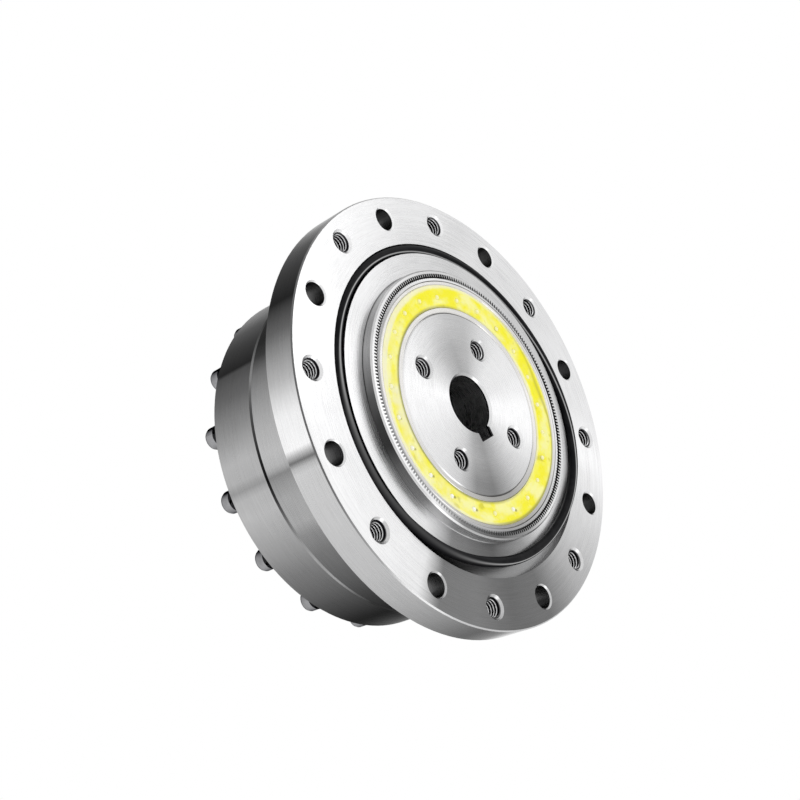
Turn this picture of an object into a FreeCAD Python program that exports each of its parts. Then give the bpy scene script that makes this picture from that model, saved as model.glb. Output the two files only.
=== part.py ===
import FreeCAD, Part
import math
import os

# Strain wave gear unit with a crossed roller output bearing, in millimetres.
# The axis of rotation is Z. The unit stands on the face of its output flange at Z = 0,
# and the input side with the fixing flange looks up.
# The pitch diameter of the teeth drives every round size: each ring takes its place
# from its neighbour and a wall or a clearance that is named here.

# Lengths along the axis
unit_length = 46.0
collar_height = 2.5
rear_step = 3.9
joint_rise = 3.4

# Teeth and wave
pitch_diameter = 63.5
spline_teeth = 242
flex_teeth = 240
flank_angle = 30.0
addendum_in_modules = 0.875
dedendum_in_modules = 1.125
tooth_thinning = 0.02
spline_tooth_length = 11.1
major_axis_angle = 120.0

# Circular spline, the rigid housing with the fixing flange
spline_back_wall = 1.25
body_wall = 10.0
flange_width = 10.5
flange_thickness = 8.5
pilot_step = 0.25
pilot_height = 3.1
land_rise = 0.4
flange_edge_chamfer = 0.3
flange_back_chamfer = 0.25
body_edge_chamfer = 0.7
seam_chamfer = 0.35
pilot_edge_chamfer = 0.35

# Fixing holes in the flange
flange_hole_inset = 5.5
flange_hole_count = 8
flange_hole_diameter = 5.5
flange_thread_diameter = 5.0
hole_mouth = 0.35
thread_mouth = 0.5

# Face groove with its ring on the fixing flange
face_ring_cord = 2.4
face_ring_proud = 0.5
face_groove_side_play = 0.25
face_groove_inset = 1.7

# Static seal between the two housing parts
joint_ring_cord = 1.5
joint_ring_squeeze = 0.3
joint_groove_side_play = 0.5
joint_ring_wall = 2.8

# Flexspline cup
cup_rim_depth = 1.1
cup_front_setback = 0.2
cup_tooth_overlap = 0.3
cup_wall = 0.45
cup_floor_rise = 1.5
cup_round_rise = 4.0
cup_floor_thickness = 0.7
cup_corner_radius = 3.0
cup_boss_width = 4.8
cup_boss_thickness = 4.0

# Crossed roller bearing
roller_inset = 0.75
roller_diameter = 5.0
roller_end_play = 0.2
roller_pitch = 6.0
race_side_wall = 1.44
race_play = 0.02
ring_gap = 0.5
spacer_step = 0.4
spacer_play = 0.09
filling_plug_play = 0.7
filling_pin_diameter = 1.5
filling_pin_length = 11.0
filling_pin_wall = 4.5

# Output flange, one piece with the inner race of the crossed roller bearing
output_step = 1.0
output_edge_chamfer = 0.5
output_pilot_diameter = 20.0
output_pilot_depth = 7.0
output_hole_wall = 6.8
output_hole_count = 8
output_thread_diameter = 8.0
output_thread_depth = 12.0
spigot_height = 3.2
spigot_wall = 2.0
cap_thickness = 1.6
cap_sink = 0.3

# Screws, pins and ring that clamp the flexspline to the output flange
clamp_screw_wall = 4.2
clamp_screw_count = 8
clamp_screw_diameter = 4.0
clamp_screw_head_diameter = 7.0
clamp_screw_head_height = 4.0
clamp_screw_grip = 6.0
thread_end_room = 1.5
clamp_ring_width = 4.3
clamp_ring_thickness = 2.5
dowel_diameter = 2.5
dowel_length = 10.5
dowel_count = 2

# Outer ring collar with the shaft seal
collar_wall = 1.5
seal_width = 5.0
seal_pocket_depth = 4.0
seal_recess = 0.5
seal_case_thickness = 0.9
seal_lip_width = 0.5
garter_diameter = 0.9
seal_running_gap = 0.05

# Screws that hold the outer ring to the circular spline
ring_screw_inset = 3.25
ring_screw_count = 16
ring_screw_diameter = 3.0
ring_screw_hole_play = 0.2
lock_washer_diameter = 5.6
lock_washer_thickness = 1.0
lock_washer_play = 0.05
lock_washer_split = 0.6
lock_washer_split_angle = 20.0
ring_screw_head_diameter = 5.5
ring_screw_head_height = 3.0
ring_screw_length = 20.0

# Flexible ball bearing between the flexspline and the wave generator
cup_fit = 0.05
outer_race_width = 9.6
outer_race_floor = 0.65
ball_diameter = 6.0
groove_play = 0.1
groove_depth = 0.32
inner_race_floor = 1.05
race_fit = 0.02
race_edge_chamfer = 0.2
ball_phase = 4.0

# Ball cage, a crown whose closed side looks out of the unit
cage_gap = 0.8
cage_front_wall = 0.64
cage_rear_reach = 1.3
cage_web = 1.3
pocket_play = 0.08
grease_hole_diameter = 0.9

# Wave generator plug
plug_height = 9.7
plug_face_setback = 0.75
plug_shoulder_width = 0.9
plug_shoulder_thickness = 1.2
plug_chamfer = 0.3
input_bore_diameter = 14.0
input_bore_chamfer = 0.5
key_width = 5.0
key_depth = 2.3
key_angle = 5.0
plug_hole_inset = 6.68
plug_hole_count = 4
plug_thread_diameter = 5.0

# Small clearances and edge breaks shared by several parts
face_gap = 0.02
thread_play = 0.05
hole_edge = 0.3

up = FreeCAD.Vector(0, 0, 1)
origin = FreeCAD.Vector(0, 0, 0)
full_turn = 360.0

# Teeth: the flexspline has two less, and the difference of the pitch radii is the wave
tooth_module = pitch_diameter / spline_teeth
pitch_radius = pitch_diameter / 2
flex_pitch_radius = tooth_module * flex_teeth / 2
wave = pitch_radius - flex_pitch_radius
addendum = addendum_in_modules * tooth_module
dedendum = dedendum_in_modules * tooth_module
tooth_pitch = math.pi * tooth_module

# Housing radii, from the teeth outwards
body_bore = pitch_radius + spline_back_wall
pilot_radius = body_bore + pilot_step
body_radius = body_bore + body_wall
flange_radius = body_radius + flange_width
flange_hole_circle = 2 * (flange_radius - flange_hole_inset)
ring_screw_circle = 2 * (body_radius - ring_screw_inset)
face_groove_outer = body_radius - face_groove_inset
face_groove_inner = face_groove_outer - face_ring_cord - face_groove_side_play
face_groove_depth = face_ring_cord - face_ring_proud
joint_ring_radius = body_bore + joint_ring_wall
joint_groove_depth = joint_ring_cord - joint_ring_squeeze
joint_groove_half = (joint_ring_cord + joint_groove_side_play) / 2

# Output bearing, from the roller circle to both sides
roller_radius = pitch_radius - roller_inset
roller_length = roller_diameter - roller_end_play
roller_count = 2 * int(math.pi * roller_radius / roller_pitch)
race_half = (roller_diameter / 2 + race_play) * math.sqrt(2)
ring_throat = roller_radius
inner_ring = roller_radius - ring_gap
output_radius = inner_ring - output_step
seal_radius = output_radius + seal_width
collar_radius = seal_radius + collar_wall
filling_bore_radius = roller_diameter / 2 + filling_plug_play
filling_plug_angle = 3.5 * full_turn / ring_screw_count
filling_pin_circle = 2 * (body_bore + filling_pin_wall)

# Heights of the output side, from the collar upwards
rear_face_height = collar_height + rear_step
screw_seat_height = rear_face_height - lock_washer_thickness
seal_seat = collar_height + seal_pocket_depth
roller_height = seal_seat + race_side_wall + race_half
inner_ring_height = roller_height + race_half + race_side_wall
joint_height = inner_ring_height + joint_rise
cup_floor_height = inner_ring_height + cup_floor_rise
cup_round_height = cup_floor_height + cup_round_rise
boss_top = inner_ring_height + cup_boss_thickness
clamp_top = boss_top + clamp_ring_thickness

# Screw circles of the output flange, from its pilot outwards
spigot_radius = output_pilot_diameter / 2
cap_seat_radius = spigot_radius - spigot_wall
output_bore = cap_seat_radius - spigot_wall
clamp_screw_circle = 2 * (spigot_radius + clamp_screw_wall)
clamp_ring_radius = clamp_screw_circle / 2 + clamp_ring_width
cup_boss = clamp_screw_circle / 2 + cup_boss_width
output_hole_circle = clamp_screw_circle + 2 * output_hole_wall

# Heights of the input side, from the front rim down
front_height = unit_length + pilot_height
flange_back_height = unit_length - flange_thickness
cup_front = front_height - cup_front_setback
cup_tooth_back = cup_front - spline_tooth_length - cup_tooth_overlap
plug_face = front_height - plug_face_setback
plug_back = plug_face - plug_height
race_back = plug_back + plug_shoulder_thickness
ball_height = (race_back + plug_face) / 2

# Wave generator radii, from the cup's bore inwards
cup_bore = pitch_radius - cup_rim_depth
neutral_radius = (cup_bore + flex_pitch_radius - dedendum) / 2
outer_race_radius = cup_bore - cup_fit
groove_radius = ball_diameter / 2 + groove_play
ball_radius = outer_race_radius - outer_race_floor - groove_radius
outer_race_bore = ball_radius + groove_radius - groove_depth
inner_race_radius = ball_radius - groove_radius + groove_depth
inner_race_bore = ball_radius - groove_radius - inner_race_floor
plug_radius = inner_race_bore - race_fit
plug_hole_circle = 2 * (plug_radius - plug_hole_inset)
key_reach = input_bore_diameter / 2 + key_depth
ball_count = int(2 * math.pi * ball_radius / (ball_diameter + cage_web))
cage_inner = inner_race_radius + cage_gap
cage_outer = outer_race_bore - cage_gap
cage_front_height = ball_height + ball_diameter / 2 + pocket_play + cage_front_wall
cage_rear_height = ball_height - cage_rear_reach
inner_stretch = wave / plug_radius
outer_stretch = wave / cup_bore


def at(radius, height):
    """A point of a turned outline, at this distance from the axis."""
    return FreeCAD.Vector(radius, 0, height)


def outline(points):
    """A flat face inside a closed run of straight lines."""
    return Part.Face(Part.makePolygon(points + [points[0]]))


def turned(points):
    """A solid of revolution from a run of (radius, height) pairs."""
    face = outline([at(radius, height) for radius, height in points])
    return face.revolve(origin, up, full_turn)


def tube(outer, inner, low, high, edge):
    """A plain ring with the same bevel on its four edges."""
    return turned([(inner + edge, low), (outer - edge, low), (outer, low + edge),
                   (outer, high - edge), (outer - edge, high), (inner + edge, high),
                   (inner, high - edge), (inner, low + edge)])


def rod(radius, low, high):
    """A cylinder on the axis."""
    return Part.makeCylinder(radius, high - low, at(0, low), up)


def funnel(radius, face_height):
    """The cone that bevels a hole's mouth out to this radius on a face that looks up."""
    return Part.makeCone(radius - 1, radius + 1, 2, at(0, face_height - 1), up)


def around(shape, circle, count, first_angle):
    """Copies of a shape that was made on the axis, set evenly on a circle of this diameter."""
    copies = []
    for index in range(count):
        angle = first_angle + index * full_turn / count
        copy = shape.copy()
        copy.translate(FreeCAD.Vector(circle / 2, 0, 0))
        copy.rotate(origin, up, angle)
        copies.append(copy)
    return copies


def stretched(shape, stretch):
    """The shape pressed from a circle into the oval of the wave."""
    oval = FreeCAD.Matrix()
    oval.A11 = 1 + stretch
    oval.A22 = 1 - stretch
    result = shape.transformGeometry(oval)
    result.rotate(origin, up, major_axis_angle)
    return result


def wave_at(angle):
    """How far the wave pushes a point outwards at this angle from the major axis."""
    return wave * math.cos(2 * angle)


def groups(solids):
    """Separate solids that share one file."""
    return Part.makeCompound(solids)


def hexagon(across_flats, low, high):
    """A six-sided prism on the axis."""
    corner = across_flats / math.sqrt(3)
    points = []
    for index in range(6):
        angle = math.radians(60 * index)
        points.append(FreeCAD.Vector(corner * math.cos(angle), corner * math.sin(angle), low))
    return outline(points).extrude(FreeCAD.Vector(0, 0, high - low))


def roller_square(extra):
    """The square channel of the crossed rollers, turned all the way round."""
    half = race_half + extra
    return turned([(roller_radius, roller_height - half), (roller_radius + half, roller_height),
                   (roller_radius, roller_height + half), (roller_radius - half, roller_height)])


def polar_point(radius, angle, height):
    """A point at this radius and angle, counted from the major axis of the wave."""
    turn = angle + math.radians(major_axis_angle)
    return FreeCAD.Vector(radius * math.cos(turn), radius * math.sin(turn), height)


def spline_space_points(height):
    """The toothed outline inside the circular spline: straight flanks, wide at the tips."""
    tip = pitch_radius - addendum
    root = pitch_radius + dedendum
    slope = math.tan(math.radians(flank_angle))
    wide = tooth_pitch / 4 + addendum * slope
    narrow = tooth_pitch / 4 - dedendum * slope
    points = []
    for index in range(spline_teeth):
        middle = 2 * math.pi * index / spline_teeth
        points.append(polar_point(tip, middle - wide / tip, height))
        points.append(polar_point(root, middle - narrow / root, height))
        points.append(polar_point(root, middle + narrow / root, height))
        points.append(polar_point(tip, middle + wide / tip, height))
    return points


def flex_tooth_points(height):
    """The toothed outline of the flexspline, bent along the wave.

    The neutral line moves out by wave * cos(2a) and along by -wave / 2 * sin(2a), which keeps
    its length, and each tooth leans with the normal of the bent line.
    """
    slope = math.tan(math.radians(flank_angle))
    top = tooth_pitch / 4 - addendum * slope - tooth_thinning
    bottom = tooth_pitch / 4 + dedendum * slope - tooth_thinning
    tip = flex_pitch_radius + addendum - neutral_radius
    root = flex_pitch_radius - dedendum - neutral_radius
    corners = [(-bottom, root), (-top, tip), (top, tip), (bottom, root)]
    points = []
    for index in range(flex_teeth):
        angle = 2 * math.pi * index / flex_teeth
        swing = wave * math.sin(2 * angle) / neutral_radius
        foot = polar_point(neutral_radius + wave_at(angle), angle - swing / 2, height)
        lean = angle + 1.5 * swing
        outward = polar_point(1, lean, 0)
        along = polar_point(1, lean + math.pi / 2, 0)
        for side, lift in corners:
            points.append(foot + outward * lift + along * side)
    return points


def fixing_holes():
    """The plain and the tapped holes of the flange, one kind between the other."""
    low = flange_back_height - 1
    high = unit_length + 1
    plain = rod(flange_hole_diameter / 2, low, high)
    plain = plain.fuse(funnel(flange_hole_diameter / 2 + hole_mouth, unit_length))
    thread = rod(flange_thread_diameter / 2, low, high)
    tapped = thread.fuse(funnel(flange_thread_diameter / 2 + thread_mouth, unit_length))
    half_step = full_turn / flange_hole_count / 2
    holes = around(plain, flange_hole_circle, flange_hole_count, 0)
    holes += around(tapped, flange_hole_circle, flange_hole_count, half_step)
    return holes


def make_circular_spline():
    outer = flange_radius
    body = body_radius
    bore = body_bore
    pilot = pilot_radius
    tip_blank = pitch_radius - 2 * addendum
    tooth_back = front_height - spline_tooth_length
    run_out = bore - tip_blank
    groove_floor = unit_length - face_groove_depth
    blank = turned([
        (bore, joint_height),
        (body - seam_chamfer, joint_height),
        (body, joint_height + seam_chamfer),
        (body, flange_back_height),
        (outer - flange_back_chamfer, flange_back_height),
        (outer, flange_back_height + flange_back_chamfer),
        (outer, unit_length - flange_edge_chamfer),
        (outer - flange_edge_chamfer, unit_length),
        (face_groove_outer, unit_length),
        (face_groove_outer, groove_floor),
        (face_groove_inner, groove_floor),
        (face_groove_inner, unit_length + land_rise),
        (pilot, unit_length + land_rise),
        (pilot, front_height - pilot_edge_chamfer),
        (pilot - pilot_edge_chamfer, front_height),
        (tip_blank, front_height),
        (tip_blank, tooth_back),
        (bore, tooth_back - run_out)])
    teeth = outline(spline_space_points(tooth_back - run_out - 1))
    teeth = teeth.extrude(FreeCAD.Vector(0, 0, spline_tooth_length + run_out + 2))
    thread_end = screw_seat_height + ring_screw_length + thread_end_room
    screw_thread = rod(ring_screw_diameter / 2, joint_height - 1, thread_end)
    tools = [teeth] + fixing_holes()
    tools += around(screw_thread, ring_screw_circle, ring_screw_count, 0)
    return blank.cut(tools)


def make_input_o_ring():
    middle = (face_groove_inner + face_groove_outer) / 2
    height = unit_length - face_groove_depth + face_ring_cord / 2
    return Part.makeTorus(middle, face_ring_cord / 2, at(0, height), up)


def make_body_o_ring():
    height = joint_height - joint_groove_depth + joint_ring_cord / 2
    ring = Part.makeTorus(joint_ring_radius, joint_ring_cord / 2, at(0, height), up)
    squeeze = rod(2 * joint_ring_radius, joint_height, joint_height + joint_ring_cord)
    return ring.cut(squeeze)


def outer_ring_blank():
    """The outer ring of the crossed roller bearing before its cross holes are drilled."""
    body = body_radius
    collar = collar_radius
    pocket = seal_radius + face_gap
    pocket_floor = seal_seat
    throat = ring_throat
    race_top = roller_height + race_half
    groove_out = joint_ring_radius + joint_groove_half
    groove_in = joint_ring_radius - joint_groove_half
    groove_floor = joint_height - joint_groove_depth
    relief = body_bore
    ring = turned([
        (throat, pocket_floor),
        (pocket, pocket_floor),
        (pocket, collar_height),
        (collar - output_edge_chamfer, collar_height),
        (collar, collar_height + output_edge_chamfer),
        (collar, rear_face_height),
        (body - body_edge_chamfer, rear_face_height),
        (body, rear_face_height + body_edge_chamfer),
        (body, joint_height - seam_chamfer),
        (body - seam_chamfer, joint_height),
        (groove_out, joint_height),
        (groove_out, groove_floor),
        (groove_in, groove_floor),
        (groove_in, joint_height),
        (relief, joint_height),
        (relief, race_top + relief - throat + hole_edge),
        (throat, race_top + hole_edge)])
    return ring.cut(roller_square(0))


def filling_bore(radius):
    """The radial bore through which the rollers go in."""
    bore = Part.makeCylinder(radius, body_radius - roller_radius + 1, origin,
                             FreeCAD.Vector(1, 0, 0))
    bore.translate(at(roller_radius, roller_height))
    bore.rotate(origin, up, filling_plug_angle)
    return bore


def filling_pin_hole(radius):
    """The small axial hole that locks the filling plug."""
    pin = rod(radius, rear_face_height - 1, rear_face_height + filling_pin_length + face_gap)
    return around(pin, filling_pin_circle, 1, filling_plug_angle)[0]


def make_bearing_outer_ring():
    screw_hole = rod(ring_screw_diameter / 2 + ring_screw_hole_play, rear_face_height - 1,
                     joint_height + 1)
    tools = around(screw_hole, ring_screw_circle, ring_screw_count, 0)
    tools.append(filling_bore(filling_bore_radius))
    tools.append(filling_pin_hole(filling_pin_diameter / 2))
    return outer_ring_blank().cut(tools)


def make_roller_filling_plug():
    plug = outer_ring_blank().common(filling_bore(filling_bore_radius - face_gap))
    return plug.cut(filling_pin_hole(filling_pin_diameter / 2))


def make_filling_plug_pin():
    pin = rod(filling_pin_diameter / 2 - face_gap, rear_face_height,
              rear_face_height + filling_pin_length)
    return around(pin, filling_pin_circle, 1, filling_plug_angle)[0]


def socket_screw(under_head, length, diameter, head_diameter, head_height, direction):
    """A socket head cap screw on the axis; direction 1 puts the head above, -1 below."""
    radius = head_diameter / 2
    rim = head_height / 4
    socket = diameter * 0.83
    profile = [(0, 0), (radius, 0), (radius, head_height - rim),
               (radius - rim * 0.3, head_height - rim * 0.3), (radius - rim, head_height),
               (0, head_height)]
    head = turned(profile)
    head = head.cut(hexagon(socket, head_height * 0.45, head_height + 1))
    shank_radius = diameter / 2 - thread_play
    tip = diameter / 8
    shank = turned([(0, 0), (shank_radius, 0), (shank_radius, tip - length),
                    (shank_radius - tip, -length), (0, -length)])
    screw = head.fuse(shank).removeSplitter()
    if direction < 0:
        screw.rotate(origin, FreeCAD.Vector(1, 0, 0), full_turn / 2)
    screw.translate(at(0, under_head))
    return screw


def make_ring_screws():
    screw = socket_screw(screw_seat_height, ring_screw_length, ring_screw_diameter,
                         ring_screw_head_diameter, ring_screw_head_height, -1)
    return groups(around(screw, ring_screw_circle, ring_screw_count, 0))


def make_ring_screw_washers():
    inner = ring_screw_diameter / 2 + lock_washer_play
    washer = rod(lock_washer_diameter / 2, screw_seat_height, rear_face_height)
    washer = washer.cut(rod(inner, screw_seat_height - 1, rear_face_height + 1))
    split = Part.makeBox(lock_washer_diameter, lock_washer_split, 4 * lock_washer_thickness,
                         FreeCAD.Vector(0, -lock_washer_split / 2, -2 * lock_washer_thickness))
    split.rotate(origin, FreeCAD.Vector(1, 0, 0), lock_washer_split_angle)
    split.translate(at(0, rear_face_height - lock_washer_thickness / 2))
    return groups(around(washer.cut(split), ring_screw_circle, ring_screw_count, 0))


def make_output_oil_seal():
    outer = seal_radius
    lip = output_radius + seal_running_gap
    low = collar_height + seal_recess
    high = seal_seat
    wall = seal_case_thickness
    tip = seal_lip_width
    pocket = garter_diameter / 2 + 2 * face_gap
    return turned([
        (outer, low),
        (outer, high),
        (outer - wall, high),
        (outer - wall, low + wall),
        (lip + tip + 2 * pocket, low + wall),
        (lip + tip, low + 2 * wall),
        (lip + tip, high - wall),
        (lip, high - wall - tip),
        (lip + tip, low + wall),
        (lip, low + tip),
        (lip + tip, low)])


def make_seal_garter_spring():
    middle = output_radius + seal_running_gap + seal_lip_width + garter_diameter / 2 + face_gap
    height = seal_seat - seal_case_thickness - garter_diameter / 2
    return Part.makeTorus(middle, garter_diameter / 2, at(0, height), up)


def make_output_flange():
    outer = output_radius
    ring = inner_ring
    seat = seal_seat
    top = inner_ring_height
    cap_seat = top - cap_sink - cap_thickness / 2
    spigot_top = top + spigot_height
    blank = turned([
        (output_pilot_diameter / 2 + hole_edge, 0),
        (outer - output_edge_chamfer, 0),
        (outer, output_edge_chamfer),
        (outer, seat),
        (ring, seat + ring - outer),
        (ring, top - hole_edge),
        (ring - hole_edge, top),
        (spigot_radius, top),
        (spigot_radius, spigot_top - hole_edge),
        (spigot_radius - hole_edge, spigot_top),
        (cap_seat_radius, spigot_top),
        (cap_seat_radius, cap_seat),
        (output_bore, cap_seat),
        (output_bore, output_pilot_depth),
        (output_pilot_diameter / 2, output_pilot_depth),
        (output_pilot_diameter / 2, hole_edge)])
    thread = rod(output_thread_diameter / 2, -1, output_thread_depth)
    mouth_radius = output_thread_diameter / 2 + hole_edge
    mouth = Part.makeCone(mouth_radius + 1, mouth_radius - 1, 2, at(0, -1), up)
    drill_tip = Part.makeCone(output_thread_diameter / 2, 0, output_thread_diameter * 0.3,
                              at(0, output_thread_depth), up)
    tapped = thread.fuse([mouth, drill_tip])
    screw_thread = rod(clamp_screw_diameter / 2, top - clamp_screw_grip - thread_end_room, top + 1)
    dowel_hole = rod(dowel_diameter / 2, clamp_top - dowel_length, top + 1)
    half_step = full_turn / output_hole_count / 2
    tools = [roller_square(0)]
    tools += around(tapped, output_hole_circle, output_hole_count, half_step)
    tools += around(screw_thread, clamp_screw_circle, clamp_screw_count, 0)
    tools += around(dowel_hole, clamp_screw_circle, dowel_count, half_step)
    return blank.cut(tools)


def make_output_centre_cap():
    radius = cap_seat_radius - face_gap
    low = inner_ring_height - cap_sink - cap_thickness / 2
    high = low + cap_thickness
    dish = radius * 0.6
    return turned([(0, low), (radius - hole_edge, low), (radius, low + hole_edge), (radius, high),
                   (radius - hole_edge * 2, high), (dish, high - cap_thickness / 2),
                   (0, high - cap_thickness / 2)])


def cup_base():
    """The round end of the flexspline: boss, thin floor, corner and the start of the wall."""
    inner = cup_bore
    outer = cup_bore + cup_wall
    boss = cup_boss
    floor_top = cup_floor_height + cup_floor_thickness
    corner = cup_corner_radius
    inner_corner = corner - cup_wall
    lean = math.cos(math.radians(45))
    middle = at(outer - corner, cup_floor_height + corner)
    outer_arc = Part.Arc(at(outer - corner, cup_floor_height),
                         middle + at(corner * lean, -corner * lean),
                         at(outer, cup_floor_height + corner))
    inner_middle = at(inner - inner_corner, floor_top + inner_corner)
    inner_arc = Part.Arc(at(inner, floor_top + inner_corner),
                         inner_middle + at(inner_corner * lean, -inner_corner * lean),
                         at(inner - inner_corner, floor_top))
    taper = (boss_top - floor_top) / 2
    line = Part.makePolygon([
        at(outer, cup_floor_height + corner),
        at(outer, cup_round_height),
        at(inner, cup_round_height),
        at(inner, floor_top + inner_corner)])
    rest = Part.makePolygon([
        at(inner - inner_corner, floor_top),
        at(boss + taper, floor_top),
        at(boss, floor_top + taper),
        at(boss, boss_top),
        at(spigot_radius + face_gap, boss_top),
        at(spigot_radius + face_gap, inner_ring_height),
        at(boss, inner_ring_height),
        at(boss + cup_floor_height - inner_ring_height, cup_floor_height),
        at(outer - corner, cup_floor_height)])
    wire = Part.Wire([outer_arc.toShape()] + line.Edges + [inner_arc.toShape()] + rest.Edges)
    return Part.Face(wire).revolve(origin, up, full_turn)


def oval_wire(radius, height):
    """The wave's oval at this mean radius."""
    oval = Part.Ellipse(at(0, height), radius * (1 + outer_stretch), radius * (1 - outer_stretch))
    wire = Part.Wire([oval.toShape()])
    wire.rotate(origin, up, major_axis_angle)
    return wire


def round_wire(radius, height):
    """A circle that starts at the same angle as the oval."""
    wire = Part.Wire([Part.Circle(at(0, height), up, radius).toShape()])
    wire.rotate(origin, up, major_axis_angle)
    return wire


def make_flexspline():
    outer = cup_bore + cup_wall
    skin = Part.makeLoft([round_wire(outer, cup_round_height), oval_wire(outer, cup_tooth_back)], True)
    hollow = Part.makeLoft([round_wire(cup_bore, cup_round_height),
                            oval_wire(cup_bore, cup_tooth_back)], True)
    wall = skin.cut(hollow)
    band_face = Part.Face([Part.makePolygon(flex_tooth_points(cup_tooth_back)
                                            + flex_tooth_points(cup_tooth_back)[:1]),
                           oval_wire(cup_bore, cup_tooth_back)])
    band_face.validate()
    band = band_face.extrude(FreeCAD.Vector(0, 0, cup_front - cup_tooth_back))
    cup = cup_base().fuse([wall, band])
    screw_hole = rod(clamp_screw_diameter / 2 + thread_play * 2, 0, boss_top + 1)
    dowel_hole = rod(dowel_diameter / 2, 0, boss_top + 1)
    half_step = full_turn / output_hole_count / 2
    tools = around(screw_hole, clamp_screw_circle, clamp_screw_count, 0)
    tools += around(dowel_hole, clamp_screw_circle, dowel_count, half_step)
    return cup.cut(tools)


def make_flexspline_clamp_ring():
    ring = tube(clamp_ring_radius, spigot_radius + face_gap, boss_top, clamp_top, hole_edge)
    screw_hole = rod(clamp_screw_diameter / 2 + thread_play * 2, boss_top - 1, clamp_top + 1)
    dowel_hole = rod(dowel_diameter / 2, boss_top - 1, clamp_top + 1)
    half_step = full_turn / output_hole_count / 2
    tools = around(screw_hole, clamp_screw_circle, clamp_screw_count, 0)
    tools += around(dowel_hole, clamp_screw_circle, dowel_count, half_step)
    return ring.cut(tools)


def make_flexspline_screws():
    length = clamp_top - inner_ring_height + clamp_screw_grip
    screw = socket_screw(clamp_top, length, clamp_screw_diameter, clamp_screw_head_diameter,
                         clamp_screw_head_height, 1)
    return groups(around(screw, clamp_screw_circle, clamp_screw_count, 0))


def make_flexspline_dowels():
    edge = hole_edge
    radius = dowel_diameter / 2 - face_gap
    low = clamp_top - dowel_length + face_gap
    high = clamp_top
    pin = turned([(0, low), (radius - edge, low), (radius, low + edge), (radius, high - edge),
                  (radius - edge, high), (0, high)])
    half_step = full_turn / output_hole_count / 2
    return groups(around(pin, clamp_screw_circle, dowel_count, half_step))


def crossed_roller(index):
    """One roller of the set; its axis leans the other way on every second one."""
    lean = 45 if index % 2 == 0 else -45
    edge = roller_diameter * 0.04
    radius = roller_diameter / 2
    half = roller_length / 2
    roller = turned([(0, -half), (radius - edge, -half), (radius, edge - half),
                     (radius, half - edge), (radius - edge, half), (0, half)])
    roller.rotate(origin, FreeCAD.Vector(0, 1, 0), lean)
    roller.translate(at(roller_radius, roller_height))
    roller.rotate(origin, up, index * full_turn / roller_count)
    return roller


def make_cross_rollers():
    return groups([crossed_roller(index) for index in range(roller_count)])


def roller_spacer(index):
    """A round separator with a hollow for the roller on each side."""
    radius = roller_diameter / 2 - spacer_step
    spacer = Part.makeCylinder(radius, radius, FreeCAD.Vector(0, -radius / 2, 0),
                               FreeCAD.Vector(0, 1, 0))
    spacer.translate(at(roller_radius, roller_height))
    spacer.rotate(origin, up, (index + 0.5) * full_turn / roller_count)
    hollows = []
    for near in (index, index + 1):
        lean = 45 if near % 2 == 0 else -45
        hollow = Part.makeCylinder(roller_diameter / 2 + spacer_play, 2 * roller_length,
                                   FreeCAD.Vector(0, 0, -roller_length), up)
        hollow.rotate(origin, FreeCAD.Vector(0, 1, 0), lean)
        hollow.translate(at(roller_radius, roller_height))
        hollow.rotate(origin, up, near * full_turn / roller_count)
        hollows.append(hollow)
    return spacer.cut(hollows)


def make_roller_spacers():
    return groups([roller_spacer(index) for index in range(roller_count)])


def make_wave_generator_plug():
    radius = plug_radius
    bevel = plug_chamfer
    shoulder = radius + plug_shoulder_width
    cam = turned([
        (0, plug_back),
        (shoulder - bevel, plug_back),
        (shoulder, plug_back + bevel),
        (shoulder, race_back),
        (radius, race_back),
        (radius, plug_face - bevel),
        (radius - bevel, plug_face),
        (0, plug_face)])
    cam = stretched(cam, inner_stretch)
    bore = rod(input_bore_diameter / 2, plug_back - 1, plug_face + 1)
    mouth = funnel(input_bore_diameter / 2 + input_bore_chamfer, plug_face)
    key = Part.makeBox(key_reach, key_width, plug_height + 2,
                       FreeCAD.Vector(0, -key_width / 2, plug_back - 1))
    key.rotate(origin, up, key_angle)
    thread = rod(plug_thread_diameter / 2, plug_back - 1, plug_face + 1)
    thread = thread.fuse(funnel(plug_thread_diameter / 2 + thread_mouth, plug_face))
    half_step = full_turn / plug_hole_count / 2
    tools = [bore, mouth, key]
    tools += around(thread, plug_hole_circle, plug_hole_count, half_step)
    return cam.cut(tools)


def ball_groove():
    """The ring swept by the ball track, a little wider than the balls."""
    return Part.makeTorus(ball_radius, groove_radius, at(0, ball_height), up)


def make_flex_bearing_inner_race():
    ring = tube(inner_race_radius, inner_race_bore, race_back, plug_face, race_edge_chamfer)
    return stretched(ring.cut(ball_groove()), inner_stretch)


def make_flex_bearing_outer_race():
    ring = tube(outer_race_radius, outer_race_bore, cup_front - outer_race_width, cup_front,
                race_edge_chamfer)
    return stretched(ring.cut(ball_groove()), outer_stretch)


def ball_angle(index):
    """Where this ball stands, counted from the major axis of the wave."""
    return math.radians(ball_phase) + 2 * math.pi * index / ball_count


def make_bearing_balls():
    balls = []
    for index in range(ball_count):
        angle = ball_angle(index)
        centre = polar_point(ball_radius + wave_at(angle), angle, ball_height)
        balls.append(Part.makeSphere(ball_diameter / 2, centre))
    return groups(balls)


def make_ball_cage():
    ring = tube(cage_outer, cage_inner, cage_rear_height, cage_front_height, hole_edge)
    tools = []
    for index in range(ball_count):
        angle = ball_angle(index)
        inside = polar_point(cage_inner - 1, angle, ball_height)
        outward = polar_point(1, angle, 0)
        reach = cage_outer - cage_inner + 2
        tools.append(Part.makeCylinder(ball_diameter / 2 + pocket_play, reach, inside, outward))
        above = polar_point(ball_radius, angle, ball_height)
        tools.append(Part.makeCylinder(grease_hole_diameter / 2, cage_front_height, above, up))
    return ring.cut(tools)


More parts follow.
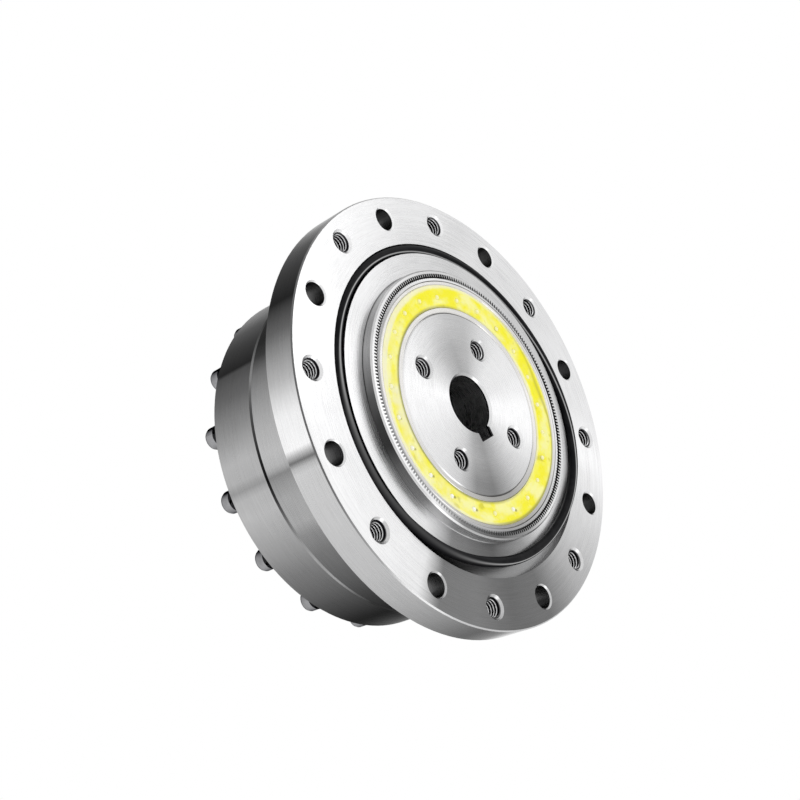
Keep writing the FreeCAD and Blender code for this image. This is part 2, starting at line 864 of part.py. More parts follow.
makers = {
    "circular_spline": make_circular_spline,
    "input_o_ring": make_input_o_ring,
    "body_o_ring": make_body_o_ring,
    "bearing_outer_ring": make_bearing_outer_ring,
    "roller_filling_plug": make_roller_filling_plug,
    "filling_plug_pin": make_filling_plug_pin,
    "ring_screws": make_ring_screws,
    "ring_screw_washers": make_ring_screw_washers,
    "output_oil_seal": make_output_oil_seal,
    "seal_garter_spring": make_seal_garter_spring,
    "cross_rollers": make_cross_rollers,
    "roller_spacers": make_roller_spacers,
    "output_flange": make_output_flange,
    "output_centre_cap": make_output_centre_cap,
    "flexspline": make_flexspline,
    "flexspline_clamp_ring": make_flexspline_clamp_ring,
    "flexspline_screws": make_flexspline_screws,
    "flexspline_dowels": make_flexspline_dowels,
    "wave_generator_plug": make_wave_generator_plug,
    "flex_bearing_inner_race": make_flex_bearing_inner_race,
    "flex_bearing_outer_race": make_flex_bearing_outer_race,
    "bearing_balls": make_bearing_balls,
    "ball_cage": make_ball_cage,
}

os.makedirs("parts", exist_ok=True)
for name, make in makers.items():
    shape = make()
    shape.exportStep("parts/" + name + ".step")
    solids = shape.Solids
    volume = sum(solid.Volume for solid in solids)
    print(name, len(solids), "solids", round(volume, 1), "mm3", shape.isValid())
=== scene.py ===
import math

import bpy
import numpy as np
from mathutils import Matrix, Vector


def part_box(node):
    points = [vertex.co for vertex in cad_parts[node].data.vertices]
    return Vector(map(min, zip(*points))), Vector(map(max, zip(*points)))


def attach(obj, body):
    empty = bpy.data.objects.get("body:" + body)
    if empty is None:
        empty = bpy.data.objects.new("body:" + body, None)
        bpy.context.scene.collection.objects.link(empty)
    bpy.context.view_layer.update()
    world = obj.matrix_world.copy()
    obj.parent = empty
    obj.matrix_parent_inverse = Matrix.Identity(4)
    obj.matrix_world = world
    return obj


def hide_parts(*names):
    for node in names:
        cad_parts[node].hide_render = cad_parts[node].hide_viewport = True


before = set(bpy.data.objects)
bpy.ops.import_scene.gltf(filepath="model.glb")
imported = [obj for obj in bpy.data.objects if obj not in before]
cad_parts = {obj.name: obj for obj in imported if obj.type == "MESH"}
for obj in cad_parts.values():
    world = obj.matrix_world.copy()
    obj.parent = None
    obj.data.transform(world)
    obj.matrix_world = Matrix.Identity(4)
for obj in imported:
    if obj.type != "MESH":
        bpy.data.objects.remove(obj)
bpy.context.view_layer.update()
print("stage: frame loaded,", len(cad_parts), "nodes")

mm = 0.001
fullTurn = 2 * math.pi


def topOf(node):
    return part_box(node)[1].z


def radiusOf(node):
    low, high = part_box(node)
    return (high.x - low.x) / 2


pilotRise = 3.1 * mm                                 # from the flange face up to the pilot rim
flangeThick = 8.5 * mm
flangeFace = topOf("circular_spline") - pilotRise
flangeBack = flangeFace - flangeThick
plugFace = topOf("wave_generator_plug")
raceFace = topOf("flex_bearing_outer_race")
cageFace = topOf("ball_cage")
seamHeight = topOf("bearing_outer_ring")
majorAxis = math.radians(120)                        # long axis of the oval wave generator


def hang(name, data, right, up, back, place):
    # links a camera or a lamp that has these three axes and stands at this place
    rows = [[right[i], up[i], back[i], place[i]] for i in range(3)] + [[0, 0, 0, 1]]
    holder = bpy.data.objects.new(name, data)
    holder.matrix_world = Matrix(rows)
    bpy.context.scene.collection.objects.link(holder)
    return holder


# Camera: fitted to the eight plain holes of the flange, as the photograph shows them
cameraLook = {
    "place": (11.087, -257.514, 232.535),            # mm
    "right": (0.38417, 0.58926, 0.71077),
    "up": (-0.92150, 0.19711, 0.33465),
    "lens": 61.054,
    "sensor": 36,                                    # mm, the width of the square frame
    "clip": (0.01, 20),                              # metres
}


def addCamera(look):
    camera = bpy.data.cameras.new("productCamera")
    camera.lens = look["lens"]
    camera.sensor_width = look["sensor"]
    camera.sensor_fit = "HORIZONTAL"
    camera.clip_start, camera.clip_end = look["clip"]
    right = np.array(look["right"])
    up = np.array(look["up"])
    place = np.array(look["place"]) * mm
    bpy.context.scene.camera = hang("productCamera", camera, right, up, np.cross(right, up), place)


addCamera(cameraLook)
bpy.context.scene.view_settings.view_transform = "Standard"
print("stage: camera set")


# Node helpers: each returns a socket
def addNode(tree, kind, **settings):
    made = tree.nodes.new(kind)
    for key, value in settings.items():
        setattr(made, key, value)
    return made


def feed(tree, socket, value):
    if isinstance(value, bpy.types.NodeSocket):
        tree.links.new(value, socket)
    else:
        socket.default_value = value


def mathOf(tree, operation, first, second=None):
    made = addNode(tree, "ShaderNodeMath", operation=operation)
    for index, value in enumerate((first, second)):
        if value is not None:
            feed(tree, made.inputs[index], value)
    return made.outputs[0]


def rescale(tree, value, fromLow, fromHigh, toLow, toHigh, smooth=False):
    made = addNode(tree, "ShaderNodeMapRange", interpolation_type="SMOOTHSTEP" if smooth else "LINEAR")
    feed(tree, made.inputs["Value"], value)
    made.inputs["From Min"].default_value = fromLow
    made.inputs["From Max"].default_value = fromHigh
    made.inputs["To Min"].default_value = toLow
    made.inputs["To Max"].default_value = toHigh
    return made.outputs["Result"]


def mixOf(tree, share, first, second, blend="MIX"):
    made = addNode(tree, "ShaderNodeMix", data_type="RGBA", blend_type=blend)
    feed(tree, made.inputs["Factor"], share)
    feed(tree, made.inputs["A"], first)
    feed(tree, made.inputs["B"], second)
    return made.outputs["Result"]


def noiseOf(tree, vector, scale, detail=3.0, rough=0.5):
    # on plain positions the scale counts per metre
    made = addNode(tree, "ShaderNodeTexNoise")
    tree.links.new(vector, made.inputs["Vector"])
    made.inputs["Scale"].default_value = scale
    made.inputs["Detail"].default_value = detail
    made.inputs["Roughness"].default_value = rough
    return made.outputs["Fac"]


def vectorOf(tree, x, y, z):
    made = addNode(tree, "ShaderNodeCombineXYZ")
    for socket, value in zip(made.inputs, (x, y, z)):
        feed(tree, socket, value)
    return made.outputs[0]


def lineNoise(tree, polar, across, perMetre, perRadian, layer, detail=3.0, rough=0.5):
    # noise drawn out round the axis: fine along `across`, long along the angle
    lines = vectorOf(tree, mathOf(tree, "MULTIPLY", across, perMetre),
                     mathOf(tree, "MULTIPLY", polar["angle"], perRadian), layer)
    return noiseOf(tree, lines, 1.0, detail, rough)


def shadeOf(tree, name):
    # a value that the mesh carries at each of its points
    return addNode(tree, "ShaderNodeAttribute", attribute_name=name).outputs["Fac"]


def addBump(tree, surface, height, strength, deep):
    # deep is in mm
    bump = addNode(tree, "ShaderNodeBump")
    bump.inputs["Strength"].default_value = strength
    bump.inputs["Distance"].default_value = deep * mm
    tree.links.new(height, bump.inputs["Height"])
    tree.links.new(bump.outputs[0], surface.inputs["Normal"])


def polarOf(tree):
    # radius, share of a full turn from +X, height, and how far the surface looks up, all about the axis
    place = addNode(tree, "ShaderNodeTexCoord")
    split = addNode(tree, "ShaderNodeSeparateXYZ")
    tree.links.new(place.outputs["Object"], split.inputs[0])
    x, y, z = split.outputs
    facing = addNode(tree, "ShaderNodeSeparateXYZ")
    tree.links.new(place.outputs["Normal"], facing.inputs[0])
    square = mathOf(tree, "ADD", mathOf(tree, "MULTIPLY", x, x), mathOf(tree, "MULTIPLY", y, y))
    radius = mathOf(tree, "SQRT", square)
    angle = mathOf(tree, "ARCTAN2", y, x)
    turn = mathOf(tree, "FRACT", mathOf(tree, "ADD", mathOf(tree, "DIVIDE", angle, fullTurn), 1.0))
    return {"x": x, "y": y, "z": z, "radius": radius, "angle": angle, "turn": turn,
            "up": facing.outputs[2]}


def fanOf(tree, polar, stops):
    # painted light and shade: a grey for each angle in degrees, the soft fans of light that a turned
    # surface throws; it closes on itself
    stops = stops + [(360, stops[0][1])]
    ramp = addNode(tree, "ShaderNodeValToRGB")
    tree.links.new(polar["turn"], ramp.inputs[0])
    elements = ramp.color_ramp.elements
    ramp.color_ramp.interpolation = "LINEAR"
    for index, (degrees, grey) in enumerate(stops):
        spot = elements[index] if index < 2 else elements.new(degrees / 360)
        spot.position = degrees / 360
        spot.color = (grey, grey, grey, 1)
    return ramp.outputs["Color"]


def newMaterial(name):
    material = bpy.data.materials.new(name)
    material.use_nodes = True
    tree = material.node_tree
    surface = tree.nodes["Principled BSDF"]
    return material, tree, surface


def dress(node, material):
    # gives a CAD node's slots their finished material
    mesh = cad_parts[node].data
    if not mesh.materials:
        mesh.materials.append(material)
    for index in range(len(mesh.materials)):
        mesh.materials[index] = material


# Turned and ground steel: rings on the faces, scratches round the walls, fans of light and shade
# painted into the colour
steelLook = {
    "longLines": (5000.0, 1.6),  # scratches per metre across, and per radian along
    "shortLines": (2200.0, 7.0),
    "cloud": 90.0,               # stains per metre
    "cloudShare": 0.03,          # how much lighter and darker they make the grey
    "grain": 2600.0,
    "grainShare": 0.02,
    "anisotropy": 0.5,
    "edgeGlare": 0.42,           # how much of the white glare is left at grazing angles
    # the colour of the painted shade in the tooth spaces
    "toothShade": (0.004, 0.004, 0.004, 1),
}

# Patches: spans of how far a surface looks up and of mm from the axis, and how soft their edges are
flat = (0.7, 1.1)
upright = (-0.1, 0.6)
beyond = 60                      # past the whole unit
holeSpan = (44.5, 51.4)
seamSpan = (42.3, 43.2)
softUp = 0.08
softMm = 0.04


def within(tree, value, low, high, soft):
    # 1 between low and high, falling to 0 over the soft edge
    rise = rescale(tree, value, low - soft, low, 0, 1)
    fall = rescale(tree, value, high, high + soft, 1, 0)
    return mathOf(tree, "MULTIPLY", rise, fall)


def patchMask(tree, polar, where):
    # where gives the span of radius and height in mm, of how far the surface looks up, and the soft edge
    share = None
    for key in [key for key in ("radius", "z", "up") if key in where]:
        low, high = where[key]
        unit = 1.0 if key == "up" else mm
        soft = softUp if key == "up" else where.get("soft", softMm) * mm
        mask = within(tree, polar[key], low * unit, high * unit, soft)
        share = mask if share is None else mathOf(tree, "MULTIPLY", share, mask)
    return share


def spaceMask(tree, polar, look):
    # painted shade in the tooth spaces of the circular spline
    # 1 where 0.5 cos(teeth * (angle - first space)) + fill is above a half, with a fill for each angle,
    # inside its patch, times the share that each side of the ring gets
    swing = mathOf(tree, "SUBTRACT", polar["angle"], math.radians(look["first"]))
    swing = mathOf(tree, "COSINE", mathOf(tree, "MULTIPLY", swing, look["teeth"]))
    over = mathOf(tree, "ADD", mathOf(tree, "MULTIPLY", swing, 0.5), fanOf(tree, polar, look["fill"]))
    over = rescale(tree, over, 0.40, 0.60, 0, 1)
    share = mathOf(tree, "MULTIPLY", over, patchMask(tree, polar, look["where"]))
    return mathOf(tree, "MULTIPLY", share, fanOf(tree, polar, look["share"]))


def turnedSteel(name, face, wall, rough=0.3, streaks=0.08, patches=(), spaces=None,
                tint=(1.0, 1.0, 1.006)):
    # face and wall are lists of (degrees, grey), painted light and shade; each patch lays another such
    # list over a region
    material, tree, surface = newMaterial(name)
    polar = polarOf(tree)
    polar["up"] = mathOf(tree, "ABSOLUTE", polar["up"])
    looksUp = rescale(tree, polar["up"], 0.55, 0.8, 0, 1)
    fan = mixOf(tree, looksUp, fanOf(tree, polar, wall), fanOf(tree, polar, face))
    for where, stops in patches:
        fan = mixOf(tree, patchMask(tree, polar, where), fan, fanOf(tree, polar, stops))
    # painted shade laid over the fans in the tooth spaces
    toothShade = spaceMask(tree, polar, spaces) if spaces else 0.0
    if spaces:
        fan = mixOf(tree, toothShade, fan, steelLook["toothShade"])

    # scratches run round the axis: fine along radius or height, long along the angle
    across = mathOf(tree, "ADD", mathOf(tree, "MULTIPLY", polar["radius"], looksUp),
                    mathOf(tree, "MULTIPLY", polar["z"], mathOf(tree, "SUBTRACT", 1.0, looksUp)))
    scratch = lineNoise(tree, polar, across, *steelLook["longLines"], 0.0, 4.0, 0.65)
    shortScratch = lineNoise(tree, polar, across, *steelLook["shortLines"], 3.0, 3.0, 0.6)
    place = vectorOf(tree, polar["x"], polar["y"], polar["z"])
    cloud = noiseOf(tree, place, steelLook["cloud"], 2.0, 0.5)
    grain = noiseOf(tree, place, steelLook["grain"], 2.0, 0.6)

    tone = mathOf(tree, "ADD", rescale(tree, scratch, 0.25, 0.75, -streaks, streaks),
                  rescale(tree, shortScratch, 0.3, 0.7, -streaks * 0.6, streaks * 0.6))
    for noise, part in ((cloud, steelLook["cloudShare"]), (grain, steelLook["grainShare"])):
        tone = mathOf(tree, "ADD", tone, rescale(tree, noise, 0.3, 0.7, -part, part))
    tone = mathOf(tree, "ADD", tone, 1.0)
    toned = mixOf(tree, 1.0, fan, vectorOf(tree, tone, tone, tone), "MULTIPLY")
    tree.links.new(mixOf(tree, 1.0, toned, tint + (1,), "MULTIPLY"), surface.inputs["Base Color"])
    glare = mathOf(tree, "MULTIPLY", mathOf(tree, "SUBTRACT", 1.0, toothShade), steelLook["edgeGlare"])
    tree.links.new(mixOf(tree, glare, fan, (1, 1, 1, 1)), surface.inputs["Specular Tint"])
    surface.inputs["Metallic"].default_value = 1.0
    feed(tree, surface.inputs["Roughness"],
         mathOf(tree, "ADD", rescale(tree, scratch, 0.3, 0.7, rough - 0.05, rough + 0.07),
                rescale(tree, cloud, 0.35, 0.65, -0.02, 0.02)))
    surface.inputs["Anisotropic"].default_value = steelLook["anisotropy"]
    surface.inputs["Anisotropic Rotation"].default_value = 0.25
    roundAxis = addNode(tree, "ShaderNodeVectorMath", operation="NORMALIZE")
    tree.links.new(vectorOf(tree, mathOf(tree, "MULTIPLY", polar["y"], -1.0), polar["x"], 0.0),
                   roundAxis.inputs[0])
    toWorld = addNode(tree, "ShaderNodeVectorTransform", vector_type="VECTOR",
                      convert_from="OBJECT", convert_to="WORLD")
    tree.links.new(roundAxis.outputs[0], toWorld.inputs[0])
    tree.links.new(toWorld.outputs[0], surface.inputs["Tangent"])
    height = mathOf(tree, "ADD", scratch, mathOf(tree, "MULTIPLY", grain, 0.3))
    addBump(tree, surface, height, 0.25, 0.01)
    return material


# Painted light and shade: greys by angle, counted from +X, for the surfaces of the real unit
def level(stops):
    # screen greys to the linear values that a surface colour uses: 1.04 (grey / 255)^2.2, at most 0.97
    return [(degrees, min(0.97, (grey / 255) ** 2.2 * 1.04)) for degrees, grey in stops]


flangeFaceFan = level([(0, 114), (15, 166), (30, 194), (45, 216), (60, 240), (75, 228), (90, 222),
                       (120, 216), (150, 209), (180, 200), (210, 198), (240, 222), (270, 234),
                       (300, 235), (309, 226), (316, 120), (330, 122), (345, 106)])
landFan = level([(0, 150), (20, 228), (40, 214), (60, 210), (80, 206), (120, 195), (180, 196),
                 (220, 200), (240, 223), (260, 246), (285, 240), (305, 225), (318, 130), (340, 96)])
rimFan = level([(0, 200), (170, 205), (198, 178), (205, 120), (211, 88), (220, 69), (229.4, 48),
                (231, 66), (238, 103), (250, 180), (258, 240), (266, 246), (268.3, 90), (270.5, 203),
                (285, 195), (305, 183), (315, 162), (333, 106), (340, 130), (346, 215), (353, 235)])
housingFan = level([(0, 96), (28, 150), (62, 188), (104, 206), (142, 188), (178, 150), (194, 92),
                    (207, 50), (215, 54), (224, 54), (229, 66), (231, 82), (236, 116), (241, 136),
                    (250, 166), (256, 180), (262, 188), (266.5, 176), (268.4, 132), (271, 150),
                    (276, 166), (284, 166), (288, 140), (295, 118), (305, 98), (318, 70), (330, 42)])
ringFan = level([(0, 84), (28, 142), (62, 182), (110, 204), (150, 186), (184, 146), (205, 124),
                 (212, 92), (220, 71), (229.4, 50), (230.4, 82), (240, 105), (250, 142), (260, 180),
                 (266, 175), (268.3, 148), (271, 180), (277, 184), (287, 160), (299, 124), (315, 86),
                 (330, 38), (345, 30)])
pilotFan = level([(0, 160), (130, 190), (190, 105), (203, 190), (212, 195), (225, 180), (235, 176),
                  (245, 134), (255, 88), (265, 62), (275, 57), (285, 98), (300, 126), (315, 205),
                  (325, 246), (335, 248), (345, 210)])
plugFan = level([(0, 168), (15, 192), (35, 218), (60, 240), (75, 242), (95, 228), (120, 222),
                 (137, 206), (152, 178), (172, 162), (195, 176), (225, 210), (245, 238), (270, 232),
                 (300, 216), (315, 203), (330, 170), (347, 152)])
raceFan = level([(0, 160), (30, 200), (60, 230), (80, 236), (110, 216), (180, 216), (205, 206),
                 (228, 214), (262, 224), (300, 206), (325, 184), (345, 156)])
cupFan = level([(0, 160), (30, 200), (60, 230), (80, 236), (110, 216), (180, 214), (198, 185),
                (215, 150), (240, 150), (262, 160), (285, 160), (302, 200), (325, 184), (345, 156)])
plugEdgeFan = level([(0, 160), (15, 194), (35, 218), (60, 240), (75, 242), (95, 228), (120, 222),
                     (137, 208), (152, 186), (172, 188), (195, 200), (225, 222), (245, 238), (270, 230),
                     (300, 218), (315, 200), (330, 138), (347, 124)])
plainFan = level([(0, 196), (180, 204)])
rimEdgeFan = level([(0, 200), (180, 190), (215, 110), (240, 100), (275, 100), (292, 150), (320, 190)])
seamFan = level([(0, 50), (212, 60), (220, 78), (226, 98), (231, 122), (236, 132), (241, 104),
                 (246, 84), (251, 70), (256, 64), (262, 42), (269, 26), (275, 60), (282, 112),
                 (289, 148), (297, 154), (306, 122), (315, 78), (322, 50)])
grooveFan = level([(0, 150), (50, 175), (72, 120), (84, 22), (270, 22), (300, 40), (325, 110)])
boreFan = level([(0, 190), (180, 182)])
# painted shadow for walls down in recesses: tooth walls, bores and the walls between the races
recessShadowFan = level([(0, 22), (180, 26)])
holeFan = level([(0, 118), (120, 126), (240, 110)])
baseFan = level([(0, 110), (120, 150), (200, 110), (244, 60), (256, 90), (264, 222), (300, 212),
                 (328, 190), (345, 110)])
toothFan = level([(0, 60), (95, 70), (108, 170), (154, 170), (166, 50), (200, 50), (212, 40), (250, 45),
                  (264, 120), (300, 140), (318, 165), (335, 160), (350, 70)])
mouthFan = level([(0, 190), (40, 215), (180, 235), (270, 215), (320, 175)])
lipFan = level([(0, 150), (20, 228), (40, 214), (60, 210), (80, 206), (120, 195), (180, 200),
                (215, 218), (240, 212), (254, 176), (270, 150), (284, 172), (298, 214), (318, 150),
                (340, 110)])

flangeMm = flangeFace / mm
backMm = flangeBack / mm
frontMm = raceFace / mm
seamMm = seamHeight / mm

# Painted shade in the tooth spaces of the circular spline, painted wider than the real spaces, more of
# it where the flexspline stands off
spaceLook = {
    "teeth": 242,
    "first": 120.0,              # degrees from +X, the long axis of the wave
    "where": {"radius": (31.2, 32.26), "z": (frontMm - 1.0, frontMm + 2.0)},
    "fill": [(0, 0.75), (30, 0.7), (60, 0.6), (100, 0.5), (150, 0.6), (166, 0.92), (200, 0.86),
             (216, 0.68), (240, 0.58), (330, 0.6)],
    "share": [(0, 0.95), (60, 1.0), (84, 0.85), (104, 0.35), (120, 0.2), (150, 0.3), (164, 0.95),
              (236, 1.0), (252, 0.85), (266, 0.7), (290, 0.55), (320, 0.3), (344, 0.8)],
}

# Painted light and shade in the steels below: the fans are painted reflections, and the patches paint
# light and shade on the seam, the rim's front edge, the foot of the pilot and the tooth ends, shadow into
# the hole walls, the groove and the tooth walls, and highlight onto the hole mouths
splineSteel = turnedSteel(
    "splineSteel", face=landFan, wall=pilotFan, rough=0.28, spaces=spaceLook,
    patches=[
        ({"radius": (40.0, beyond), "up": flat}, flangeFaceFan),
        ({"radius": (42.0, 46.0), "up": upright, "z": (seamMm, backMm + 0.3)}, housingFan),
        ({"radius": (52.5, beyond), "up": upright}, rimFan),
        ({"radius": (52.6, beyond), "up": (0.5, 0.9), "z": (flangeMm - 1.0, flangeMm + 0.1)}, rimEdgeFan),
        ({"radius": seamSpan, "z": (seamMm - 0.1, seamMm + 0.42)}, seamFan),
        ({"radius": holeSpan, "z": (backMm - 0.1, flangeMm - 0.2), "up": (-0.1, 0.5)}, holeFan),
        ({"radius": holeSpan, "z": (flangeMm - 0.6, flangeMm + 0.1), "up": (0.6, 0.8)}, mouthFan),
        ({"radius": (38.5, 41.45), "z": (flangeMm - 4, flangeMm - 0.12)}, grooveFan),
        ({"radius": (32.0, 33.5), "z": (frontMm + 0.3, frontMm + 3), "up": flat}, lipFan),
        ({"radius": (20, 32.5), "z": (30, frontMm + 0.12)}, recessShadowFan),
        ({"radius": (33.25, 33.37), "up": flat, "z": (flangeMm, flangeMm + 1)}, baseFan),
    ])
ringSteel = turnedSteel(
    "ringSteel", face=plainFan, wall=ringFan, rough=0.3,
    patches=[({"radius": seamSpan, "z": (seamMm - 0.42, seamMm + 0.1)}, seamFan)])
plugSteel = turnedSteel(
    "plugSteel", face=plugFan, wall=plainFan, rough=0.26, streaks=0.05,
    patches=[({"radius": (20.0, 30), "up": flat, "soft": 6.0}, plugEdgeFan),
             ({"radius": (0, 20), "z": (0, plugFace / mm - 0.5), "up": upright}, recessShadowFan),
             ({"radius": (0, 9.8), "z": (0, plugFace / mm - 0.9), "up": upright}, boreFan)])
raceSteel = turnedSteel(
    "raceSteel", face=raceFan, wall=plainFan, rough=0.24, streaks=0.06, tint=(1.0, 0.985, 0.955),
    patches=[({"radius": (20, beyond), "z": (0, frontMm - 0.8), "up": upright}, recessShadowFan)])
flexSteel = turnedSteel(
    "flexSteel", face=cupFan, wall=plainFan, rough=0.3, streaks=0.06,
    patches=[
        ({"radius": (30.9, beyond), "z": (frontMm - 8, frontMm - 0.02), "up": upright}, recessShadowFan),
        ({"radius": (31.2, beyond), "z": (frontMm - 1.5, frontMm + 0.5), "up": flat}, toothFan),
    ])
outputSteel = turnedSteel("outputSteel", face=plainFan, wall=plainFan, rough=0.3)

dress("circular_spline", splineSteel)
for node in ("bearing_outer_ring", "roller_filling_plug"):
    dress(node, ringSteel)
dress("wave_generator_plug", plugSteel)
for node in ("flex_bearing_inner_race", "flex_bearing_outer_race"):
    dress(node, raceSteel)
dress("flexspline", flexSteel)
for node in ("output_flange", "flexspline_clamp_ring", "output_centre_cap"):
    dress(node, outputSteel)
print("stage: turned steel on the rings")


# Small hardware: plated screws, sprung washers, polished pins, rollers and balls
hardwareLook = {
    # colour, the painted shade of the sides that don't face the light, roughness, patchiness
    "screwSteel": ((0.36, 0.36, 0.37), (0.022, 0.022, 0.025), 0.28, 0.4),
    # near black washers: painted shadow under the screw heads
    "washerSteel": ((0.030, 0.030, 0.032), (0.010, 0.010, 0.010), 0.35, 0.5),
    "polishedSteel": ((0.80, 0.80, 0.81), (0.55, 0.55, 0.56), 0.12, 0.2),
    "lightFrom": (0.35, -0.92, 0.15),
}


def hardwareSteel(name):
    colour, shaded, rough, patchiness = hardwareLook[name]
    material, tree, surface = newMaterial(name)
    place = addNode(tree, "ShaderNodeTexCoord")
    patch = noiseOf(tree, place.outputs["Object"], 420.0, 3.0, 0.6)
    fine = noiseOf(tree, place.outputs["Object"], 5200.0, 2.0, 0.5)
    # painted light and shade: the colour is lighter where the surface faces along lightFrom or straight
    # away from it, and darker on its sides
    facing = addNode(tree, "ShaderNodeVectorMath", operation="DOT_PRODUCT")
    tree.links.new(place.outputs["Normal"], facing.inputs[0])
    facing.inputs[1].default_value = hardwareLook["lightFrom"]
    lit = rescale(tree, mathOf(tree, "ABSOLUTE", facing.outputs["Value"]), 0.1, 1.0, 0, 1, True)
    tone = mixOf(tree, lit, shaded + (1,), colour + (1,))
    share = rescale(tree, patch, 0.35, 0.7, 1, 1 - 0.5 * patchiness)
    tone = mixOf(tree, 1.0, tone, vectorOf(tree, share, share, share), "MULTIPLY")
    tree.links.new(tone, surface.inputs["Base Color"])
    tree.links.new(tone, surface.inputs["Specular Tint"])
    surface.inputs["Metallic"].default_value = 1.0
    feed(tree, surface.inputs["Roughness"],
         rescale(tree, patch, 0.3, 0.7, rough - 0.04, rough + 0.10))
    addBump(tree, surface, fine, 0.2, 0.01)
    return material


screwSteel = hardwareSteel("screwSteel")
washerSteel = hardwareSteel("washerSteel")
polishedSteel = hardwareSteel("polishedSteel")
for node in ("ring_screws", "flexspline_screws"):
    dress(node, screwSteel)
dress("ring_screw_washers", washerSteel)
for node in ("filling_plug_pin", "seal_garter_spring", "cross_rollers", "flexspline_dowels",
             "bearing_balls"):
    dress(node, polishedSteel)


# Rubber and plastics
def rubber(name, colour, rough, bloom, highlightLine=False):
    # bloom is the faint grey dust that rubber carries; with a highlight line the piece is paler where its
    # shade says: a painted highlight along the cord
    material, tree, surface = newMaterial(name)
    place = addNode(tree, "ShaderNodeTexCoord")
    dust = noiseOf(tree, place.outputs["Object"], 300.0, 4.0, 0.6)
    skin = noiseOf(tree, place.outputs["Object"], 3800.0, 2.0, 0.6)
    grey = rescale(tree, dust, 0.45, 0.8, 0, bloom)
    if highlightLine:
        # painted highlight: the grey grows along the line that the mesh's shade gives
        grey = mathOf(tree, "MAXIMUM", grey, shadeOf(tree, "shade"))
    # the grey of the dust and of the painted highlight
    dustAndHighlight = (0.55, 0.55, 0.55, 1)
    tree.links.new(mixOf(tree, grey, colour + (1,), dustAndHighlight), surface.inputs["Base Color"])
    tree.links.new(rescale(tree, dust, 0.3, 0.7, rough - 0.05, rough + 0.12), surface.inputs["Roughness"])
    surface.inputs["Specular IOR Level"].default_value = 0.05
    addBump(tree, surface, skin, 0.25, 0.015)
    return material


def nylon(name, colour, pale):
    material, tree, surface = newMaterial(name)
    place = addNode(tree, "ShaderNodeTexCoord").outputs["Object"]
    cloud = noiseOf(tree, place, 260.0, 3.0, 0.55)
    tree.links.new(mixOf(tree, rescale(tree, cloud, 0.35, 0.7, 0, 1), colour + (1,), pale + (1,)),
                   surface.inputs["Base Color"])
    tree.links.new(rescale(tree, cloud, 0.3, 0.7, 0.28, 0.42), surface.inputs["Roughness"])
    surface.inputs["Subsurface Weight"].default_value = 0.15
    surface.inputs["Subsurface Radius"].default_value = (0.0012, 0.001, 0.0004)
    return material


blackRubber = rubber("blackRubber", (0.005, 0.005, 0.006), 0.35, 0.02)
# the face ring's rubber carries a painted highlight line along its cord
ringRubber = rubber("ringRubber", (0.005, 0.005, 0.006), 0.35, 0.02, highlightLine=True)
sealRubber = rubber("sealRubber", (0.030, 0.026, 0.024), 0.5, 0.2)
cageNylon = nylon("cageNylon", (0.86, 0.72, 0.04), (0.92, 0.84, 0.24))
spacerNylon = nylon("spacerNylon", (0.72, 0.68, 0.56), (0.80, 0.77, 0.68))
dress("body_o_ring", blackRubber)
dress("output_oil_seal", sealRubber)
dress("ball_cage", cageNylon)
dress("roller_spacers", spacerNylon)
print("stage: hardware, rubber and nylon")


# Surfaces on a grid
def gridFaces(rows, columns, closeRows, closeColumns):
    # the four corners of every cell, as whole arrays, with the seams closed where asked
    rowCells = rows if closeRows else rows - 1
    columnCells = columns if closeColumns else columns - 1
    i, j = np.meshgrid(np.arange(rowCells), np.arange(columnCells), indexing="ij")
    nextI = (i + 1) % rows
    nextJ = (j + 1) % columns
    corners = [i * columns + j, i * columns + nextJ, nextI * columns + nextJ, nextI * columns + j]
    return np.stack(corners, -1).reshape(-1, 4)


def repeated(faces, points, count):
    # the same faces for each of `count` equal runs of points
    return (faces[None] + np.arange(count)[:, None, None] * points).reshape(-1, 4)


def addPiece(name, points, faces, material, body, smooth=True, shades=None):
    mesh = bpy.data.meshes.new(name)
    mesh.from_pydata(points.reshape(-1, 3).tolist(), [], faces.tolist())
    mesh.validate()
    if smooth:
        mesh.polygons.foreach_set("use_smooth", np.ones(len(mesh.polygons), dtype=bool))
    for key, values in (shades or {}).items():
        layer = mesh.attributes.new(key, "FLOAT", "POINT")
        layer.data.foreach_set("value", values.reshape(-1).astype(np.float32))
    mesh.materials.append(material)
    piece = bpy.data.objects.new(name, mesh)
    bpy.context.scene.collection.objects.link(piece)
    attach(piece, body)
    return piece


# The face ring lies loose: it has climbed out of its groove onto the land near +X
faceRingLook = {
    "steps": 420,
    "sides": 56,
    "easing": 7.0,               # degrees over which the route bends
    # degrees from +X, then the painted highlight line: its place in degrees round the section, from the
    # outer side upwards, its strength, and its width in degrees
    "line": [(0, 44, 1.0, 6), (30, 70, 1.0, 6), (60, 104, 1.0, 6), (90, 128, 1.0, 6), (120, 146, 1.0, 6),
             (150, 140, 1.0, 6), (180, 128, 1.0, 6), (210, 100, 1.0, 6), (230, 88, 1.0, 6),
             (250, 88, 0.5, 16), (266, 92, 0.21, 36), (285, 84, 0.11, 38), (302, 76, 0.09, 34),
             (316, 66, 0.08, 26), (332, 56, 0.34, 10), (347, 42, 1.0, 6)],
    # degrees from +X, radius in mm, and the cord's middle over the flange face in mm
    "route": [(-120, 39.98, -0.70), (-72, 39.95, -0.60), (-45, 39.30, 0.50), (-20, 37.90, 1.50),
              (5, 37.30, 1.62), (22, 37.50, 1.62), (38, 38.50, 1.45), (52, 39.80, 0.95),
              (70, 40.35, 0.65), (90, 40.25, 0.15), (115, 40.05, -0.40), (150, 39.98, -0.70)],
}


